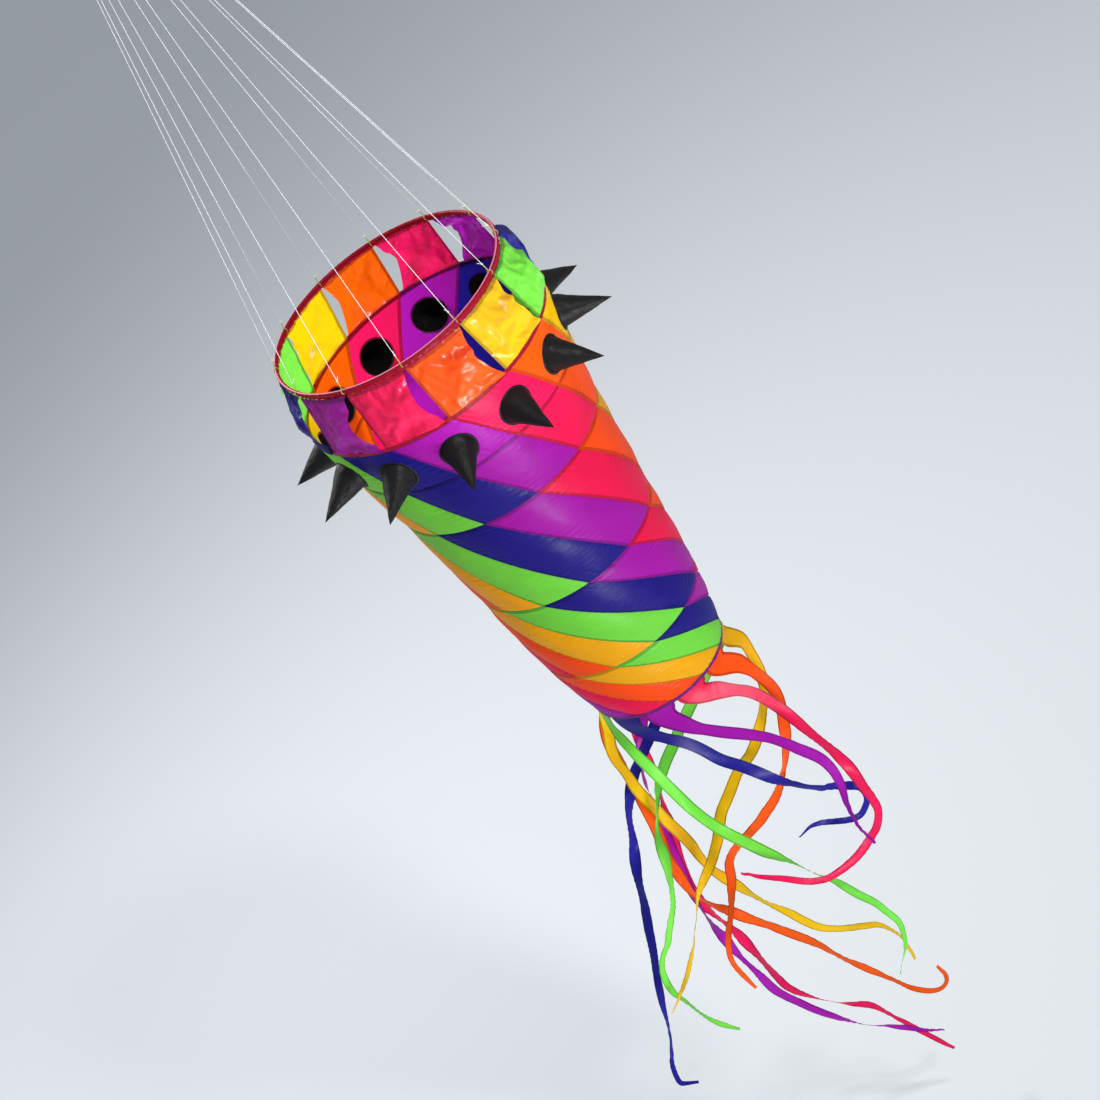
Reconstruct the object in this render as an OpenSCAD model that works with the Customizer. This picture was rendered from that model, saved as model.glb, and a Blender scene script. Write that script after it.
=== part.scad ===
// Spinning spiked windsock: a rainbow drogue with a stiff mouth hoop, twelve vents,
// a spiral-gored tapering tube, twelve stuffed-air spikes and twelve tail ribbons.
// +Z points up the spin axis, towards the mouth and the line; the origin is the
// centre of the line eye's bore, and the windsock hangs below it. Millimetres.

/* [Swivel] */
// Bore of the line eye, which takes the line clip
eye_bore_d = 10; // [8:1:12]
// Thickness of both eyes
eye_t = 5; // [4:0.5:6]
// Outer diameter of the barrel
barrel_d = 22; // [22:1:26]
// Wire thickness of the bridle ring
ring_wire_d = 4; // [3.5:0.5:4]

/* [Bridle] */
// Height from the bridle ring's centre to the mouth hoop
bridle_h = 1921; // [1500:1:2400]
// Thickness of each bridle leg
leg_d = 2; // [1:0.5:2]
// Length of each tie loop above the hoop
loop_h = 30; // [25:1:40]

/* [Mouth] */
// Diameter of the mouth hoop, to the middle of its rod
mouth_d = 800; // [700:10:900]
// Diameter of the hoop's rod
rod_d = 6; // [5:0.5:6]
// Depth of the flat part of the hoop's sleeve
sleeve_flap = 11; // [9:1:14]
// Turn of the first bridle tie about the spin axis, in degrees
first_tie = 19.5; // [0:0.5:30]
// Share of a vent's width that its open slot takes at the widest
vent_slot = 0.28; // [0.1:0.02:0.4]

/* [Tube] */
// Height of the vents, from the hoop to the collar
vent_h = 222; // [180:1:260]
// Radius of the tube at the collar
collar_r = 433; // [400:1:460]
// Thickness of the fabric solids
cloth_t = 1; // [0.8:0.1:1.2]
// Depth of the doubled hems at the collar and the trailing edge
hem_h = 14; // [10:1:18]

/* [Spikes] */
// Length of a spike from its base to its tip
spike_l = 186; // [150:1:200]
// Diameter of a spike's base
spike_d = 120; // [100:1:126]
// Lean of the spikes towards the tail, in degrees
spike_lean = 17.5; // [8:0.5:20]

/* [Tail ribbons] */
// Width of a ribbon along its length
ribbon_w = 40; // [30:1:45]
// Width of a ribbon where it leaves the trailing edge
ribbon_root_w = 60; // [50:1:90]
// Thickness of a ribbon solid
ribbon_t = 1.2; // [1:0.1:1.5]

/* [Hidden] */
$fn = 48;
count = 12;
step = 360 / count;

// The tube's rows, from the collar down: length, radius at the lower seam, and the
// gores' turn over the row.
row_l = [200, 225, 400, 350, 270];
row_r = [405, 370, 330, 300, 250];
row_turn = [18, 22.5, 53.5, 69.5, 78];
rows = len(row_l);
collar_turn = 3;

// Stations down the windsock: 0 is the hoop, 1 the collar, 2 to 6 the rows' lower seams.
function sum(list, n) = n == 0 ? 0 : list[n - 1] + sum(list, n - 1);
mouth_r = mouth_d / 2;
eye_wall = 5;
eye_r = eye_bore_d / 2 + eye_wall;
ring_r = 18;
barrel_top = -18;
barrel_bottom = -46;
low_eye_z = -58;
low_bore_r = 5.5;
low_eye_r = 9;
ring_top_z = low_eye_z - low_bore_r + ring_wire_d / 2 + 0.4;
ring_z = ring_top_z - ring_r;
mouth_z = ring_z - bridle_h;
station_z = [mouth_z, mouth_z - vent_h,
             for (n = [1:rows]) mouth_z - vent_h - sum(row_l, n)];
station_r = [mouth_r, collar_r, for (r = row_r) r];
station_turn = [0, collar_turn, for (n = [1:rows]) collar_turn + sum(row_turn, n)];
end_z = station_z[rows + 1];
end_r = row_r[rows - 1];
end_turn = station_turn[rows + 1];

// Six fabric colours in the order they follow each other round the tube.
colours = ["limegreen", "gold", "orangered", "deeppink", "darkviolet", "navy"];
vent_first = 4;      // colour index of the first vent

// Colour index of a vent, and of a tube panel: each row keeps the gore's colour over the
// first two rows, then steps back one colour a row.
function vent_colour(col) = (vent_first - col + 2 * count) % 6;
function panel_colour(row, col) = (vent_colour(col) + 1 - max(0, row - 1) + 6) % 6;

// Running parts of the swivel.
stem_r = 3;
running = 0.05;
chamber_r = barrel_d / 2 - 2;
race_t = 2;
ball_r = 2;
ball_ring_r = 6;
ball_count = 8;
chamber_top = barrel_top - 6;
race_gap = 2 * ball_r;
flange_top = chamber_top - 2 * race_t - race_gap;
flange_t = 3;
flange_r = 7;
cap_top = flange_top - flange_t - 1;

// Hoop, sleeve and ties.
ferrule_r = 4.5;
sleeve_in = 4.8;
sleeve_out = 6;
sleeve_flat_t = 1.6;
loop_wire_r = 1;
loop_strand_r = 1.4;
loop_r = 8.5;
bead_r = 2.2;
knot_r = 3;
knot_z = loop_h + bead_r + knot_r + 0.1;
tag_l = 16;
hitch_r = ring_wire_d / 2 + 1.4;
hitch_wire_r = 0.9;
hitch_fan = 60;
cloth_gap = 1;       // slit between neighbouring fabric solids
sleeve_bottom = sleeve_out + sleeve_flap;

// Spikes stand at the middle of the first row.
spike_share = 0.57;
spike_z = station_z[1] - spike_share * row_l[0];
spike_turn = collar_turn + spike_share * row_turn[0];
spike_base_r = 406;
spike_wall = 1;
spike_tuck = 6;      // depth of the spike's rim inside the fabric

// Ribbons leave the middle of the gores' lower ends, one gap below the hem.
ribbon_drop = 14;
ribbon_taper = 200;
ribbon_turn_l = 300; // length over which a ribbon turns to face the front
ribbon_fall = 45;    // straight fall below the root
ribbon_steps = 4;    // rings per span of the route
ribbon_face = [0, -1, 0.3];

// Free routes of the ribbons: x, y and the height below the trailing edge. Each starts
// at its root on the hem; the first point is worked out from the gore it belongs to.
routes = [
  [[-60, -275, -115], [20, -325, -150], [120, -390, -210], [190, -450, -280],
   [240, -500, -370], [245, -530, -440], [220, -560, -510], [205, -600, -580],
   [215, -650, -650]],
  [[80, -255, -105], [165, -265, -150], [235, -285, -260], [270, -310, -420],
   [300, -320, -550], [300, -330, -680], [290, -345, -800], [220, -355, -860],
   [110, -370, -880], [0, -385, -850], [-90, -395, -760], [-160, -410, -660],
   [-200, -420, -600]],
  [[180, -192, -110], [235, -182, -180], [255, -170, -280], [210, -160, -420],
   [150, -150, -530], [60, -130, -640], [-40, -120, -700], [-130, -110, -730],
   [-210, -110, -770], [-260, -100, -870], [-320, -90, -980], [-380, -80, -1060],
   [-420, -70, -1180], [-410, -60, -1330]],
  [[255, -82, -110], [265, -75, -190], [240, -65, -300], [160, -50, -420],
   [80, -40, -500], [-20, -30, -560], [-120, -20, -640], [-210, -10, -750],
   [-290, 0, -830], [-370, 0, -890], [-430, 0, -970], [-500, 0, -1060],
   [-580, 0, -1150], [-700, 0, -1250]],
  [[220, 40, -110], [150, 43, -165], [75, 45, -215], [-5, 45, -265], [-100, 45, -330],
   [-200, 45, -400], [-290, 45, -500], [-360, 50, -640], [-410, 50, -790],
   [-470, 50, -910], [-550, 50, -1000], [-620, 50, -1080], [-655, 55, -1180],
   [-645, 55, -1300], [-610, 60, -1430], [-555, 60, -1540]],
  [[160, 158, -105], [80, 160, -150], [0, 160, -200], [-130, 160, -310], [-250, 155, -390],
   [-350, 155, -490], [-430, 155, -620], [-500, 150, -780], [-560, 150, -930],
   [-620, 150, -1070], [-680, 150, -1200], [-730, 150, -1330], [-780, 150, -1460],
   [-840, 150, -1570], [-850, 150, -1650], [-800, 150, -1700]],
  [[60, 232, -105], [0, 230, -150], [-80, 230, -225], [-180, 230, -350], [-270, 230, -500],
   [-320, 225, -680], [-360, 225, -860], [-395, 225, -1040], [-405, 220, -1220],
   [-400, 220, -1400], [-385, 220, -1560], [-350, 220, -1720], [-280, 220, -1870],
   [-200, 220, -2010], [-110, 215, -2110], [-40, 215, -2200], [30, 215, -2270]],
  [[-65, 248, -105], [-110, 252, -165], [-170, 255, -250], [-215, 255, -400], [-250, 260, -580],
   [-310, 260, -770], [-370, 260, -960], [-390, 260, -1120], [-370, 260, -1290],
   [-350, 260, -1470], [-340, 260, -1640], [-300, 260, -1780], [-220, 260, -1900],
   [-130, 260, -2010], [-80, 260, -2150], [-30, 260, -2290], [20, 260, -2420]],
  [[-180, 195, -105], [-235, 192, -160], [-280, 190, -230], [-305, 190, -330], [-320, 190, -480],
   [-350, 190, -660], [-385, 190, -840], [-390, 190, -990], [-370, 190, -1110],
   [-310, 190, -1220], [-240, 190, -1360], [-175, 190, -1500], [-105, 190, -1680],
   [-35, 190, -1850], [30, 185, -1980], [95, 185, -2070], [155, 185, -2050],
   [155, 185, -1970]],
  [[-245, 92, -105], [-275, 94, -180], [-305, 95, -260], [-315, 95, -360], [-315, 100, -500],
   [-300, 100, -650], [-290, 100, -800], [-275, 100, -950], [-240, 105, -1080],
   [-180, 105, -1240], [-120, 105, -1390], [-60, 110, -1490], [20, 110, -1540],
   [80, 110, -1600], [110, 110, -1700], [100, 110, -1820]],
  [[-250, -65, -120], [-240, -95, -190], [-228, -120, -275], [-210, -150, -410], [-180, -190, -540],
   [-120, -230, -670], [-50, -270, -800], [20, -310, -920], [70, -340, -1030],
   [110, -370, -1120], [125, -390, -1220], [80, -420, -1300], [20, -440, -1350]],
  [[-170, -163, -105], [-125, -165, -160], [-75, -168, -235], [-20, -172, -365],
   [50, -176, -500], [125, -180, -625], [185, -184, -700], [245, -188, -735],
   [295, -192, -785], [290, -196, -850], [230, -200, -880], [160, -200, -840],
   [95, -200, -795], [30, -198, -795]]
];
// The k-th ribbon hangs from the lower end of the gore before the k-th.
function ribbon_angle(k) = first_tie + end_turn + step * (k - 0.5);

// ---------- helpers ----------

function unit(v) = v / norm(v);
function mix(a, b, t) = a + (b - a) * t;
function smooth(t) = let (c = min(1, max(0, t))) c * c * (3 - 2 * c);

// A straight rod between two points.
module rod(a, b, r) {
  d = b - a;
  translate(a)
    rotate([0, acos(d[2] / norm(d)), atan2(d[1], d[0])])
      cylinder(h = norm(d), r = r);
}

// A point of the fabric between two stations: u runs across a gore, v down the row.
function cloth_point(station, col, u, v, out) =
  let (r = mix(station_r[station], station_r[station + 1], v) + out,
       a = first_tie + step * (col + u) + mix(station_turn[station], station_turn[station + 1], v))
  [r * cos(a), r * sin(a), mix(station_z[station], station_z[station + 1], v)];

// A closed sheet of fabric over a grid of (u, v), where rows of u may differ with v.
module cloth(station, col, us, vs) {
  nu = len(us[0]);
  nv = len(vs);
  face = nu * nv;
  pts = [for (side = [0.5, -0.5]) for (j = [0:nv - 1]) for (i = [0:nu - 1])
           cloth_point(station, col, us[j][i], vs[j], side * cloth_t)];
  sheets = [for (j = [0:nv - 2]) for (i = [0:nu - 2])
              let (a = j * nu + i, b = a + 1, c = a + nu, d = c + 1)
              each [[a, b, d], [a, d, c], [b + face, a + face, d + face], [a + face, c + face, d + face]]];
  rim = concat([for (i = [0:nu - 1]) i],
               [for (j = [1:nv - 1]) j * nu + nu - 1],
               [for (i = [nu - 2:-1:0]) (nv - 1) * nu + i],
               [for (j = [nv - 2:-1:1]) j * nu]);
  edges = [for (k = [0:len(rim) - 1])
             let (a = rim[k], b = rim[(k + 1) % len(rim)])
             each [[b, a, a + face], [b, a + face, b + face]]];
  polyhedron(points = pts, faces = concat(sheets, edges));
}

// ---------- swivel ----------

module eye_plate(r, bore_r) {
  rotate([90, 0, 0])
    difference() {
      cylinder(h = eye_t, r = r, center = true);
      cylinder(h = eye_t + 2, r = bore_r, center = true);
    }
}

module line_eye()
  color("silver") {
    eye_plate(eye_r, eye_bore_d / 2);
    translate([0, 0, flange_top])
      cylinder(h = -flange_top - eye_r + 1, r = stem_r);
    translate([0, 0, flange_top - flange_t])
      cylinder(h = flange_t, r = flange_r);
  }

module swivel_barrel()
  color("gray")
    difference() {
      translate([0, 0, barrel_bottom])
        cylinder(h = barrel_top - barrel_bottom, r = barrel_d / 2);
      translate([0, 0, barrel_bottom - 1])
        cylinder(h = chamber_top - barrel_bottom + 1, r = chamber_r);
      translate([0, 0, chamber_top - 1])
        cylinder(h = barrel_top - chamber_top + 2, r = stem_r + running);
    }

module bearing_races()
  color("lightgray")
    for (z = [chamber_top - race_t, flange_top])
      translate([0, 0, z + 0.02])
        difference() {
          cylinder(h = race_t - 0.04, r = chamber_r - 0.2);
          translate([0, 0, -1])
            cylinder(h = race_t + 2, r = stem_r + 0.3);
        }

module bearing_balls()
  color("white")
    for (k = [0:ball_count - 1])
      rotate(k * 360 / ball_count)
        translate([ball_ring_r, 0, chamber_top - race_t - ball_r])
          sphere(r = ball_r);

module swivel_cap()
  color("silver")
    difference() {
      union() {
        translate([0, 0, barrel_bottom])
          cylinder(h = cap_top - barrel_bottom, r = chamber_r - 0.05);
        translate([0, 0, barrel_bottom - 3])
          cylinder(h = 3, r = barrel_d / 2);
        translate([0, 0, low_eye_z])
          rotate([0, 90, 0])
            cylinder(h = eye_t, r = low_eye_r, center = true);
        translate([0, 0, low_eye_z + low_eye_r - 2])
          cylinder(h = barrel_bottom - low_eye_z - low_eye_r + 1, r = 4);
      }
      translate([0, 0, low_eye_z])
        rotate([0, 90, 0])
          cylinder(h = barrel_d, r = low_bore_r, center = true);
    }

// ---------- bridle ----------

module bridle_ring()
  color("silver")
    translate([0, 0, ring_z])
      rotate([90, 0, 0])
        rotate_extrude()
          translate([ring_r, 0])
            circle(r = ring_wire_d / 2);

function tie_angle(k) = first_tie + step * k;
function hoop_point(k) = [mouth_r * cos(tie_angle(k)), mouth_r * sin(tie_angle(k)), mouth_z];
// Legs sit round the lower half of the ring in the order of their ties across it.
function rank(k) = len([for (j = [0:count - 1]) if (cos(tie_angle(j)) < cos(tie_angle(k))) j]);
function hitch_angle(k) = hitch_fan * (2 * rank(k) / (count - 1) - 1);
function hitch_out(k) = [sin(hitch_angle(k)), 0, -cos(hitch_angle(k))];
function hitch_centre(k) = [0, 0, ring_z] + ring_r * hitch_out(k);
function leg_top(k) = hitch_centre(k) + hitch_r * hitch_out(k);
function leg_way(k) = unit(leg_top(k) - hoop_point(k));
function knot_point(k) = hoop_point(k) + knot_z * leg_way(k);

module bridle_leg(k)
  color("whitesmoke") {
    rod(knot_point(k), leg_top(k), leg_d / 2);
    translate(knot_point(k))
      sphere(r = knot_r);
    rod(knot_point(k),
        knot_point(k) + tag_l * unit([-cos(tie_angle(k)), -sin(tie_angle(k)), 0.5]), leg_d / 2);
    translate(hitch_centre(k))
      rotate([0, -hitch_angle(k), 0])
        rotate([0, 90, 0])
          rotate_extrude()
            translate([hitch_r, 0])
              circle(r = hitch_wire_r);
  }

// A cord loop round the hoop's rod through the sleeve; its doubled strands run up
// towards the bridle to a small knot.
module tie_loop(k) {
  way = leg_way(k);
  translate(hoop_point(k))
    rotate([0, acos(way[2]), atan2(way[1], way[0])]) {
      rotate([90, 0, 0])
        rotate_extrude()
          translate([loop_r, 0])
            circle(r = loop_wire_r);
      translate([0, 0, loop_r - 0.4])
        cylinder(h = loop_h - loop_r, r = loop_strand_r);
      translate([0, 0, loop_h])
        sphere(r = bead_r);
    }
}

module tie_loops()
  color("yellowgreen")
    for (k = [0:count - 1])
      tie_loop(k);

// ---------- mouth ----------

module hoop_rod()
  color("dimgray")
    translate([0, 0, mouth_z])
      rotate(first_tie + step / 2)
        rotate_extrude(angle = 359.9, $fn = 120)
          translate([mouth_r, 0])
            circle(r = rod_d / 2);

module hoop_ferrule()
  color("silver")
    translate([0, 0, mouth_z])
      rotate(first_tie + step / 2 - 3.5)
        rotate_extrude(angle = 7, $fn = 120)
          translate([mouth_r, 0])
            difference() {
              circle(r = ferrule_r);
              circle(r = rod_d / 2 + running);
            }

module hoop_sleeve()
  color("crimson")
    translate([0, 0, mouth_z])
      difference() {
        rotate_extrude($fn = 120)
          difference() {
            union() {
              translate([mouth_r, 0])
                circle(r = sleeve_out);
              translate([mouth_r - sleeve_flat_t / 2, -sleeve_bottom])
                square([sleeve_flat_t, sleeve_flap + 2]);
            }
            translate([mouth_r, 0])
              circle(r = sleeve_in);
          }
        for (k = [0:count - 1])
          rotate(tie_angle(k))
            translate([mouth_r, 0, -loop_r])
              rotate([0, 90, 0])
                cylinder(h = 20, r = 2.2, center = true);
      }

// ---------- fabric ----------

// A vent is sewn along the hoop, one gore seam and the collar; its other side hangs free
// in a hollow curve and leaves the slot that lets the wind turn the windsock.
vent_rows = 8;
vent_cols = 6;
module vent(col) {
  top = (sleeve_bottom + cloth_gap) / vent_h;
  low = 1 - cloth_gap / vent_h;
  side = cloth_gap / (mouth_r * PI / 6);
  vs = [for (j = [0:vent_rows]) mix(top, low, j / vent_rows)];
  us = [for (v = vs)
          [for (i = [0:vent_cols]) mix(side, 1 - side - vent_slot * sin(160 * v), i / vent_cols)]];
  cloth(0, col, us, vs);
}

// A tube panel, with the spike's hole through it in the first row.
panel_cells = [4, 5, 8, 8, 6];
panel_cols = 5;
module panel(row, col) {
  cells = panel_cells[row];
  low = cloth_gap / row_l[row];
  side = cloth_gap / (row_r[row] * PI / 6);
  vs = [for (j = [0:cells]) mix(low, 1 - low, j / cells)];
  us = [for (v = vs) [for (i = [0:panel_cols]) mix(side, 1 - side, i / panel_cols)]];
  difference() {
    cloth(row + 1, col, us, vs);
    if (row == 0)
      spike_place(col)
        translate([0, 0, -60])
          cylinder(h = 150, r = spike_d / 2 + 1.2);
  }
}

module vents(colour)
  color(colours[colour])
    for (col = [0:count - 1])
      if (vent_colour(col) == colour)
        vent(col);

module panels(colour)
  color(colours[colour])
    for (row = [0:rows - 1])
      for (col = [0:count - 1])
        if (panel_colour(row, col) == colour)
          panel(row, col);

// A doubled band round the outside of the tube, between two heights.
module hem(high, low, r_high, r_low)
  rotate_extrude($fn = 120)
    polygon([[r_high + cloth_t, high], [r_high + 2 * cloth_t, high],
             [r_low + 2 * cloth_t, low], [r_low + cloth_t, low]]);

module collar_hem() {
  slope = (collar_r - row_r[0]) / row_l[0];
  color("crimson")
    hem(station_z[1] - cloth_gap, station_z[1] - hem_h, collar_r - slope * cloth_gap,
        collar_r - slope * hem_h);
}

module trailing_hem() {
  slope = (row_r[rows - 2] - end_r) / row_l[rows - 1];
  color("indigo")
    hem(end_z + hem_h, end_z, end_r + slope * hem_h, end_r);
}

// ---------- spikes ----------

module spike_place(col)
  rotate(first_tie + step * (col + 0.5) + spike_turn)
    translate([spike_base_r, 0, spike_z])
      rotate([0, 90 + spike_lean, 0])
        children();

// A thin hollow cone, open inwards, with its rim tucked just inside the tube's fabric.
module spike(col) {
  slant_wall = spike_wall * norm([spike_l, spike_d / 2]) / spike_l;
  tip_wall = slant_wall * spike_l / (spike_d / 2);
  color("black")
    difference() {
      spike_place(col)
        rotate_extrude()
          polygon([[spike_d / 2 - slant_wall, 0], [spike_d / 2, 0], [0, spike_l],
                   [0, spike_l - tip_wall]]);
      translate([0, 0, station_z[2]])
        cylinder(h = row_l[0], r1 = row_r[0] - spike_tuck, r2 = collar_r - spike_tuck, $fn = 120);
    }
}

// ---------- tail ribbons ----------

function ribbon_root(k) = [end_r * cos(ribbon_angle(k)), end_r * sin(ribbon_angle(k)), -ribbon_drop];
function route(k) = concat([ribbon_root(k), ribbon_root(k) - [0, 0, ribbon_fall]], routes[k]);

// A smooth curve through the points, with each point's neighbours setting its slope.
function curve_at(p, i, t) =
  let (n = len(p) - 1,
       a = i == 0 ? 2 * p[0] - p[1] : p[i - 1],
       d = i + 2 > n ? 2 * p[n] - p[n - 1] : p[i + 2])
  0.5 * (2 * p[i] + (p[i + 1] - a) * t + (2 * a - 5 * p[i] + 4 * p[i + 1] - d) * t * t
         + (3 * p[i] - a - 3 * p[i + 1] + d) * t * t * t);
function curve(p) =
  [for (i = [0:len(p) - 2]) for (s = [0:ribbon_steps - 1]) curve_at(p, i, s / ribbon_steps),
   p[len(p) - 1]];
function lengths(p, i = 0, so_far = [0]) =
  i == len(p) - 1 ? so_far
                  : lengths(p, i + 1, concat(so_far, [so_far[i] + norm(p[i + 1] - p[i])]));

// Ribbons are flat strips: they face outwards at the hem and turn to face the front.
function ribbon_start(k) =
  let (out = [cos(ribbon_angle(k)), sin(ribbon_angle(k)), 0])
  out[1] > 0 ? -out : out;
function ribbon_facing(k, s) = unit(mix(ribbon_start(k), ribbon_face, smooth(s / ribbon_turn_l)));
function ribbon_width(s) = mix(ribbon_root_w, ribbon_w, smooth(s / ribbon_taper));

// The four corners of a ribbon at one length.
function ribbon_ring(k, at, t, s) =
  let (w = ribbon_width(s) / 2,
       h = ribbon_t / 2,
       across = unit(cross(t, ribbon_facing(k, s))),
       up = cross(across, t))
  [for (c = [[-1, -1], [1, -1], [1, 1], [-1, 1]])
     at + c[0] * w * across + c[1] * h * up + [0, 0, end_z]];

module ribbon(k) {
  way = curve(route(k));
  n = len(way);
  along = lengths(way);
  pts = [for (i = [0:n - 1])
           each ribbon_ring(k, way[i], unit(way[min(i + 1, n - 1)] - way[max(i - 1, 0)]), along[i])];
  // Front and back are split along the same diagonal, so a twisted span keeps its thickness.
  sides = [for (i = [0:n - 2]) for (c = [0:3])
             let (a = 4 * i + c, b = 4 * i + (c + 1) % 4)
             each c < 2 ? [[a, a + 4, b], [b, a + 4, b + 4]] : [[a, a + 4, b + 4], [a, b + 4, b]]];
  ends = [[0, 1, 2], [0, 2, 3],
          [4 * n - 4, 4 * n - 2, 4 * n - 3], [4 * n - 4, 4 * n - 1, 4 * n - 2]];
  color(colours[vent_colour(k)])
    polyhedron(points = pts, faces = concat(sides, ends));
}

// ---------- nodes ----------

line_eye();
swivel_barrel();
bearing_races();
bearing_balls();
swivel_cap();
bridle_ring();
for (k = [0:count - 1])
  bridle_leg(k);
tie_loops();
hoop_rod();
hoop_ferrule();
hoop_sleeve();
vents(0);  // vents_green
vents(1);  // vents_yellow
vents(2);  // vents_orange
vents(3);  // vents_pink
vents(4);  // vents_purple
vents(5);  // vents_blue
collar_hem();
panels(0);  // panels_green
panels(1);  // panels_yellow
panels(2);  // panels_orange
panels(3);  // panels_pink
panels(4);  // panels_purple
panels(5);  // panels_blue
trailing_hem();
for (k = [0:count - 1])
  spike(k);
for (k = [0:count - 1])
  ribbon(k);
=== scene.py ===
"""Looks of the spinning spiked windsock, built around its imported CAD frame. Metres, +Z up."""

import math

import bpy
import numpy as np
from mathutils import Matrix, Vector, noise


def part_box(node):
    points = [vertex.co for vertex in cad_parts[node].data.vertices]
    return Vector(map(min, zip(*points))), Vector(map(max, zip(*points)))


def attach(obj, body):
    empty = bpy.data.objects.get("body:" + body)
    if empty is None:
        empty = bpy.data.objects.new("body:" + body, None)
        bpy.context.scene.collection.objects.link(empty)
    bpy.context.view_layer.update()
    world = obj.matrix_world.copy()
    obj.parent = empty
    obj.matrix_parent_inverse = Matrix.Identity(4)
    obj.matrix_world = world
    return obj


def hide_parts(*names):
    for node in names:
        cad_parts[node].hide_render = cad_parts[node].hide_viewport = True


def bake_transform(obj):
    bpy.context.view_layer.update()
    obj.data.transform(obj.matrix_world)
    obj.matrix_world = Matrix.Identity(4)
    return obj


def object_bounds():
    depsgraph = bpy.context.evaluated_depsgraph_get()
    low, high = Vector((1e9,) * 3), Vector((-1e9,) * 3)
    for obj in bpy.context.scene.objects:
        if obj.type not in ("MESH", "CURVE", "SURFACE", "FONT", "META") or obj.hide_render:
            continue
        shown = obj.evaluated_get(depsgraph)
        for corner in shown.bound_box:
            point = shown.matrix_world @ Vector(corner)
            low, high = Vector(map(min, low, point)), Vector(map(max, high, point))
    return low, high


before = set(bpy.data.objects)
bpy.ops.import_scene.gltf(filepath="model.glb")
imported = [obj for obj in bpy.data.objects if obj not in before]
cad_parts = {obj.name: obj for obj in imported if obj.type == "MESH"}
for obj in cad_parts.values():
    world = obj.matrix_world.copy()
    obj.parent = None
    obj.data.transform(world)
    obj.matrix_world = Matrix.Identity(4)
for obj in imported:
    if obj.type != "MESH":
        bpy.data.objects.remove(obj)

CAD_BOX = [list(v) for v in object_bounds()]

# ---------- sizes, the same as part.scad's ----------

GORES = 12
STEP = 2 * math.pi / GORES
FIRST_TIE = math.radians(19.5)
MOUTH_Z = (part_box("hoop_rod")[0].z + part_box("hoop_rod")[1].z) / 2
ROW_L = [0.222, 0.200, 0.225, 0.400, 0.350, 0.270]
STATION_Z = [MOUTH_Z - sum(ROW_L[:k]) for k in range(7)]
STATION_R = [0.400, 0.433, 0.405, 0.370, 0.330, 0.300, 0.250]
STATION_TURN = np.radians(np.cumsum([0, 3, 18, 22.5, 53.5, 69.5, 78]))
END_Z = STATION_Z[6]
END_R = STATION_R[6]
SLEEVE_R = 0.006
SLEEVE_BOTTOM = 0.017
SPIKE_L, SPIKE_R = 0.186, 0.060
SPIKE_LEAN = math.radians(17.5)
SPIKE_BASE_R = 0.406
SPIKE_SHARE = 0.57
SPIKE_Z = STATION_Z[1] - SPIKE_SHARE * ROW_L[1]
COLOURS = ["green", "yellow", "orange", "pink", "purple", "blue"]


def vent_colour(gore):
    """Number of the colour of a gore's vent, and of its ribbon."""
    return (4 - gore) % 6


def panel_colour(row, gore):
    return (vent_colour(gore) + 1 - max(0, row - 1)) % 6


def smooth(t):
    t = np.clip(t, 0, 1)
    return t * t * (3 - 2 * t)


# ---------- camera, floor and light ----------


def make_camera():
    """The photo's view, with no lens shift."""
    data = bpy.data.cameras.new("camera")
    cam = bpy.data.objects.new("camera", data)
    bpy.context.scene.collection.objects.link(cam)
    data.lens, data.sensor_width = 105.88, 36
    x = Vector((0.79916, -0.31156, -0.51408))
    y = Vector((0.60107, 0.42498, 0.67683))
    z = x.cross(y).normalized()
    place = Matrix((x, y, z)).transposed().to_4x4()
    place.translation = Vector((0.0221, -8.8793, MOUTH_Z + 4.4358))
    cam.matrix_world = place
    data.clip_start, data.clip_end = 0.1, 300
    bpy.context.scene.camera = cam


def area_light(name, place, aim, size, power, colour, spread=180):
    """A round lamp; spread is in degrees."""
    data = bpy.data.lights.new(name, "AREA")
    data.shape, data.size, data.energy, data.color = "DISK", size, power, colour
    data.spread = math.radians(spread)
    lamp = bpy.data.objects.new(name, data)
    bpy.context.scene.collection.objects.link(lamp)
    lamp.location = place
    lamp.rotation_euler = (Vector(aim) - Vector(place)).to_track_quat("-Z", "Y").to_euler()


def make_set():
    bpy.ops.mesh.primitive_plane_add(size=240, location=(0, 0, CAD_BOX[0][2] - 0.25))
    floor = bpy.context.object
    floor.name = "floor"
    m = bpy.data.materials.new("floor")
    m.use_nodes = True
    p = m.node_tree.nodes["Principled BSDF"]
    p.inputs["Base Color"].default_value = (0.62, 0.66, 0.70, 1)
    p.inputs["Roughness"].default_value = 0.9
    floor.data.materials.append(m)
    world = bpy.data.worlds.new("world")
    bpy.context.scene.world = world
    world.use_nodes = True
    back = world.node_tree.nodes["Background"]
    back.inputs["Color"].default_value = (0.93, 0.96, 1.0, 1)
    back.inputs["Strength"].default_value = 0.48
    bpy.context.scene.view_settings.view_transform = "Standard"
    middle = (0, 0, MOUTH_Z - 0.8)
    area_light("key", (3.4, -5.2, 3.2), middle, 0.9, 460, (1, 0.97, 0.92))
    area_light("back", (-3.0, 5.4, 1.6), middle, 2.0, 640, (1, 0.98, 0.95))
    area_light("low", (0.9, -5.2, -5.6), middle, 1.1, 42, (1, 0.99, 0.97), 60)


make_camera()
make_set()

# ---------- materials ----------


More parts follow.
